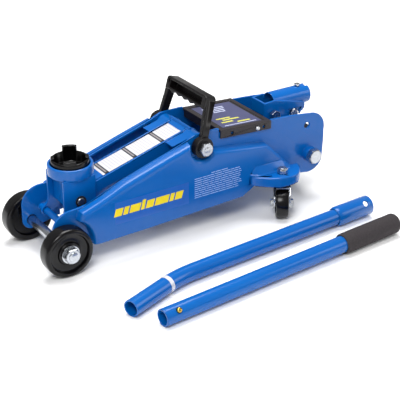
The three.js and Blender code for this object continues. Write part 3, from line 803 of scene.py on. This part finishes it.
# Bolts: across flats, height and seat of each head, then its shank's radius and ends

boltValues = {
    "pivotBolt": {"at": fulcrum, "head": (17, 6.1, 58.4), "shank": (5, 46.3, 58.6)},
    "rearBolt": {"at": tieBolt, "head": (19, 8.0, 55.3), "shank": (6, 20, 56)},
    "coverScrew": {"at": (292, 124.5), "radius": 3.2, "from": 48.1, "to": 50.3},
}


def boltParts(bolt, sign):
    x, z = bolt["at"]
    across, height, seat = bolt["head"]
    radius, low, high = bolt["shank"]
    out = (0, sign, 0)
    return [hexHeadMesh("head", jackPoint(x, sign * seat, z), out, across, height),
            turnedMesh("shank", ringProfile(0, radius, low, high), jackPoint(x, 0, z), out, 40)]


def makeBolts():
    pivot, rear, screw = boltValues["pivotBolt"], boltValues["rearBolt"], boltValues["coverScrew"]
    for side, sign in bothSides:
        out = (0, sign, 0)
        tip = turnedMesh("end", [(0, 64.3), (4.2, 64.3), (4.4, 64.9), (3.4, 65.4), (0, 65.4)],
                         jackPoint(fulcrum[0], 0, fulcrum[1]), out, 40)
        finishPiece(f"pivotBolt_{side}", joinMeshes("pivotBolt", [*boltParts(pivot, sign), tip]),
                    zincPlate, "chassis", 0.35, 2, (f"pivot_bolt_{side}",), 28)
        finishPiece(f"rearBolt_{side}", joinMeshes("rearBolt", boltParts(rear, sign)),
                    zincPlate, "chassis", 0.4, 2, (f"rear_bolt_{side}",), 28)
        radius, low, high = screw["radius"], screw["from"], screw["to"]
        x, z = screw["at"]
        dome = turnedMesh("screw", [
            (0, low), (radius, low), (radius, low + 1.1), (radius - 0.6, high - 0.3),
            (radius - 2, high), (0, high)], jackPoint(x, 0, z), out, 32)
        finishPiece(f"coverScrew_{side}", dome, zincPlate, "chassis", 0, 2, (f"cover_screw_{side}",))


# Cover with its printed label

coverLabel = {
    "x": (243, 305), "half": 38.5, "slope": 0.055, "height": 134.6, "front": 234, "recess": 1.2,
    "print": 0.3, "groove": 2, "whiteRows": 4, "rowPitch": 5.2, "strip": (6, 56),
    "yellowBlocks": ((-9, 8, 30), (-15, 14, 40), (-22, 8, 26), (-27, 30, 50))}


def coverPlace(lift):
    v = coverLabel
    return lambda a, b, h: jackPoint(
        a, b, v["height"] - (a - v["front"]) * v["slope"] - v["recess"] + lift + h)


def makeCoverLabel():
    v = coverLabel
    start, end = v["x"]
    half, wide = v["half"], v["groove"]
    film = prismMesh("film", boxOutline((start, end), (-half, half)), 0, 0.25, coverPlace(0.02))
    finishPiece("coverLabel", film, violetVinyl, "chassis", 0.1, 2)
    # a near-black strip round the label: painted shade standing in for the shaded groove round its
    # recess
    grooveShadeStrips = []
    for a, b in (((start - wide, end + wide), (half, half + 1.6)),
                 ((start - wide, end + wide), (-half - 1.6, -half)),
                 ((start - wide, start), (-half, half)), ((end, end + wide), (-half, half))):
        grooveShadeStrips.append(prismMesh("grooveShadeStrips", boxOutline(a, b), 0, 0.15, coverPlace(0.02)))
    finishPiece("coverGrooveShade", joinMeshes("grooveShadeStrips", grooveShadeStrips), paintedGrooveShade, "chassis")

    def printedBar(a, b):
        return prismMesh("bar", boxOutline(a, b), 0, 0.06, coverPlace(v["print"]))

    whites = []
    for row in range(v["whiteRows"]):
        b = half - 10 - row * v["rowPitch"]
        whites.append(printedBar((start + 10 + row * 3, start + 44 - row * 2), (b - 2.2, b)))
    whites.append(printedBar([start + a for a in v["strip"]], (-half + 3, -half + 4.6)))
    yellows = [printedBar((start + a0, start + a1), (b - 3.4, b)) for b, a0, a1 in v["yellowBlocks"]]
    finishPiece("coverLabelWhites", joinMeshes("whites", whites), labelWhite, "chassis")
    finishPiece("coverLabelYellows", joinMeshes("yellows", yellows), labelYellow, "chassis")


# Casters

casterValues = {
    "x": 317, "y": 73, "trail": 6, "turn": 57, "radius": 20.5, "width": 17, "bore": 3.4,
    "pin": (3, 14), "head": (9.5, 3.4, 12.1), "nut": (13, 6.5, 62.8, 5.1)}


def casterWheelProfile():
    v = casterValues
    half, tread = v["width"] / 2, v["radius"]
    return [
        (v["bore"], -half), (6.5, -half), (7.2, 1.4 - half), (14.6, 1.4 - half), (15.4, -half),
        (tread - 2.3, -half), (tread - 0.7, 0.7 - half), (tread, 2.6 - half), (tread, half - 2.6),
        (tread - 0.7, half - 0.7), (tread - 2.3, half), (15.4, half), (14.6, half - 1.4),
        (7.2, half - 1.4), (6.5, half), (v["bore"], half),
    ]


def casterAxle(centre, direction):
    radius, half = casterValues["pin"]
    across, height, seat = casterValues["head"]
    parts = [turnedMesh("pin", [(0, -half), (radius - 0.4, -half), (radius, 0.4 - half),
                                (radius, half - 0.4), (radius - 0.4, half), (0, half)],
                        centre, direction, 32)]
    for way in (-1, 1):
        parts.append(hexHeadMesh("head", centre + direction * way * seat * mm, direction * way,
                                 across, height))
    return joinMeshes("axle", parts)


def makeCasters():
    v = casterValues
    turn = Matrix.Rotation(math.radians(v["turn"]), 3, "Z")
    axis = turn @ Vector((0, 1, 0))
    nutAcross, nutHeight, nutAt, nutBore = v["nut"]
    for side, sign in bothSides:
        pivot = jackPoint(v["x"], sign * v["y"], 0)
        centre = pivot + turn @ (Vector((-v["trail"], 0, v["radius"])) * mm)
        wheel = turnedMesh("wheel", casterWheelProfile(), centre, axis, 80)
        finishPiece(f"casterWheel_{side}", wheel, mouldedNylon, f"caster_wheel_{side}", 0.25, 2,
                    (f"caster_wheel_{side}",))
        finishPiece(f"casterAxle_{side}", casterAxle(centre, axis), zincPlate, f"caster_wheel_{side}",
                    0.2, 2, (f"caster_axle_{side}",), 28)
        nut = hexHeadMesh("nut", pivot + Vector((0, 0, nutAt * mm)), (0, 0, 1),
                          nutAcross, nutHeight, nutBore)
        finishPiece(f"casterNut_{side}", nut, zincPlate, f"caster_{side}", 0.25, 2,
                    (f"caster_nut_{side}",), 28)
        refined(f"caster_fork_{side}", zincPlate, f"caster_{side}", 0.5)
        refined(f"caster_shelf_{side}", blueEnamel, "chassis", 2.4, 4, 40)


# The loose handle

lowerHandle = {
    "bend": (99.8, -154.3, 11.52), "heading": 3.2, "tilt": 0.455, "straight": 315.5, "bent": 88,
    "angle": 16.2, "knee": 24, "radius": 10.8, "bore": 9, "sleeve": 60, "sleeveBore": 11.5,
    "sleeveRadius": 13.5, "buttonHole": (4, 12), "tape": (25, 6)}
upperHandle = {
    "start": (37, -221, 11.05), "heading": 3.76, "tilt": 0.512, "length": 375, "grip": 95, "radius": 11,
    "bore": 9, "plug": (5, 3), "gripBore": 11.3, "gripRadius": 13.5, "button": (18, 3.2, 3.6)}


def handlePlace(place, heading, tilt):
    turn = Matrix.Rotation(math.radians(heading), 3, "Z") @ Matrix.Rotation(-math.radians(tilt), 3, "Y")
    start = jackPoint(*place)
    return (lambda x, y, z: start + turn @ (Vector((x, y, z)) * mm)), turn


def lowerHandlePath(far, at):
    # straight from the mouth, round the knee, then straight to the sleeve
    v = lowerHandle
    near = far.normalized() * v["knee"]
    path = [at(*(far.lerp(near, i / 4))) for i in range(4)]
    for i in range(13):
        t = i / 12
        path.append(at(*(near * (1 - t) ** 2 + Vector((v["knee"], 0, 0)) * t ** 2)))
    run = v["straight"] - v["sleeve"] / 2 - v["knee"]
    return path + [at(v["knee"] + run * i / 6, 0, 0) for i in range(1, 7)]


def makeLowerHandle():
    v = lowerHandle
    at, turn = handlePlace(v["bend"], v["heading"], v["tilt"])
    swing = math.radians(v["angle"])
    far = Vector((-v["bent"] * math.cos(swing), -v["bent"] * math.sin(swing), 0))
    tube = sweptMesh("tube", lowerHandlePath(far, at), v["radius"], 64, v["bore"])
    finishPiece("handleLowerTube", tube, blueEnamel, "handle_lower", 0.35, 2, ("handle_lower_tube",))
    length, bore, radius = v["sleeve"], v["sleeveBore"], v["sleeveRadius"]
    sleeve = turnedMesh("sleeve", [
        (bore, 0), (11.9, 0), (12.6, 1.2), (13.3, 3.6), (radius, 6), (radius, length - 0.6),
        (radius - 0.4, length), (11.9, length), (bore, length - 0.6),
    ], at(v["straight"] - length, 0, 0), turn @ Vector((1, 0, 0)), 80)
    holeRadius, fromEnd = v["buttonHole"]
    hole = turnedMesh("hole", ringProfile(0, holeRadius, 5, 20), at(v["straight"] - fromEnd, 0, 0),
                      turn @ Vector((0, -1, 1)), 40)
    finishPiece("handleSleeve", drilled(sleeve, [hole]), blueEnamel, "handle_lower", 0.25, 2,
                ("handle_sleeve",))
    inwards = -far.normalized()
    tapeFromMouth, tapeWidth = v["tape"]
    tape = turnedMesh("tape", ringProfile(v["radius"] + 0.05, v["radius"] + 0.25, 0, tapeWidth),
                      at(*(far + inwards * (v["bent"] - tapeFromMouth))), turn @ inwards, 64)
    finishPiece("handleTape", tape, whiteVinyl, "handle_lower")


def makeUpperHandle():
    v = upperHandle
    at, turn = handlePlace(v["start"], v["heading"], v["tilt"])
    along = turn @ Vector((1, 0, 0))
    outward = turn @ Vector((0, -math.sqrt(0.5), math.sqrt(0.5)))
    length, radius, bore = v["length"], v["radius"], v["bore"]
    plugInner, plugOuter = (length - back for back in v["plug"])
    tube = turnedMesh("tube", [
        (bore, 0), (bore + 0.4, 0), (radius - 0.3, 0), (radius, 0.4), (radius, plugOuter),
        (0, plugOuter), (0, plugInner), (bore, plugInner)], at(0, 0, 0), along, 72)
    buttonAt, buttonRadius, holeRadius = v["button"]
    hole = turnedMesh("hole", ringProfile(0, holeRadius, 4, 15), at(buttonAt, 0, 0), outward, 40)
    finishPiece("handleUpperTube", drilled(tube, [hole]), blueEnamel, "handle_upper", 0.25, 2,
                ("handle_upper_tube",))
    grip, gripBore, gripRadius = v["grip"], v["gripBore"], v["gripRadius"]
    sleeve = turnedMesh("grip", [
        (gripBore, 0), (12.2, 0), (13.0, 0.7), (13.45, 2), (gripRadius, 4), (gripRadius, grip - 5),
        (13.3, grip - 2.4), (12.4, grip - 0.7), (10.6, grip), (0, grip), (0, grip - 2.4),
        (gripBore, grip - 2.4),
    ], at(length - grip, 0, 0), along, 72)
    finishPiece("gripSleeve", sleeve, foamRubber, "handle_upper", 0.3, 2, ("grip_sleeve",))
    button = turnedMesh("button", [
        (0, 7.2), (buttonRadius, 7.2), (buttonRadius, 12.4), (2.9, 13.3), (2.1, 13.9), (1.0, 14.15),
        (0, 14.2)], at(buttonAt, 0, 0), outward, 40)
    finishPiece("snapButton", button, turnedBrass, "snap_button", 0, 2, ("snap_button",))


carriedOver = [  # node, finish, body and how far its edges are broken
    ("lift_arm", blueEnamel, "lift_arm", 1.0),
    ("lower_link", blueEnamel, "lower_link", 0.5),
    ("base_plate", blueEnamel, "chassis", 0.5),
    ("handle_socket", blueEnamel, "handle_socket", 0.7),
    ("reservoir_tube", blueEnamel, "chassis", 0.5),
    ("pump_block", castIron, "chassis", 0.7),
    ("ram_crosshead", castIron, "ram", 0.8),
    ("ram_rod", groundSteel, "ram", 0.4),
    ("gland_nut", groundSteel, "chassis", 0.6),
    ("ram_cylinder", groundSteel, "chassis", 0.4),
    ("filler_plug", mouldedPolypropylene, "chassis", 0.5),
    ("pump_plunger", groundSteel, "plunger", 0.4),
    ("plunger_pin", zincPlate, "plunger", 0.5),
    ("release_valve", groundSteel, "release_valve", 0.4),
    ("socket_pivot_bolt", zincPlate, "chassis", 0.4),
    ("clamp_screw", zincPlate, "handle_socket", 0.4),
    ("link_pin_left", groundSteel, "chassis", 0.5),
    ("link_pin_right", groundSteel, "chassis", 0.5),
    ("cover", mouldedAbs, "chassis", 0.9),
    ("carry_handle", mouldedPolypropylene, "carry_handle", 1.3),
]


def makeCarriedOver():
    # CAD shapes that only need their edges broken and their faces smoothed
    for node, material, body, bevel in carriedOver:
        refined(node, material, body, bevel, 3)


for stage in (makeSideFrames, makeSideDecals, makeFrontWheels, makeSaddleBracket, makeSaddle,
              makeArmPins, makeArmLabel, makeSprings, makeBolts, makeCoverLabel, makeCasters,
              makeLowerHandle, makeUpperHandle, makeCarriedOver):
    stage()
    print("done:", stage.__name__)
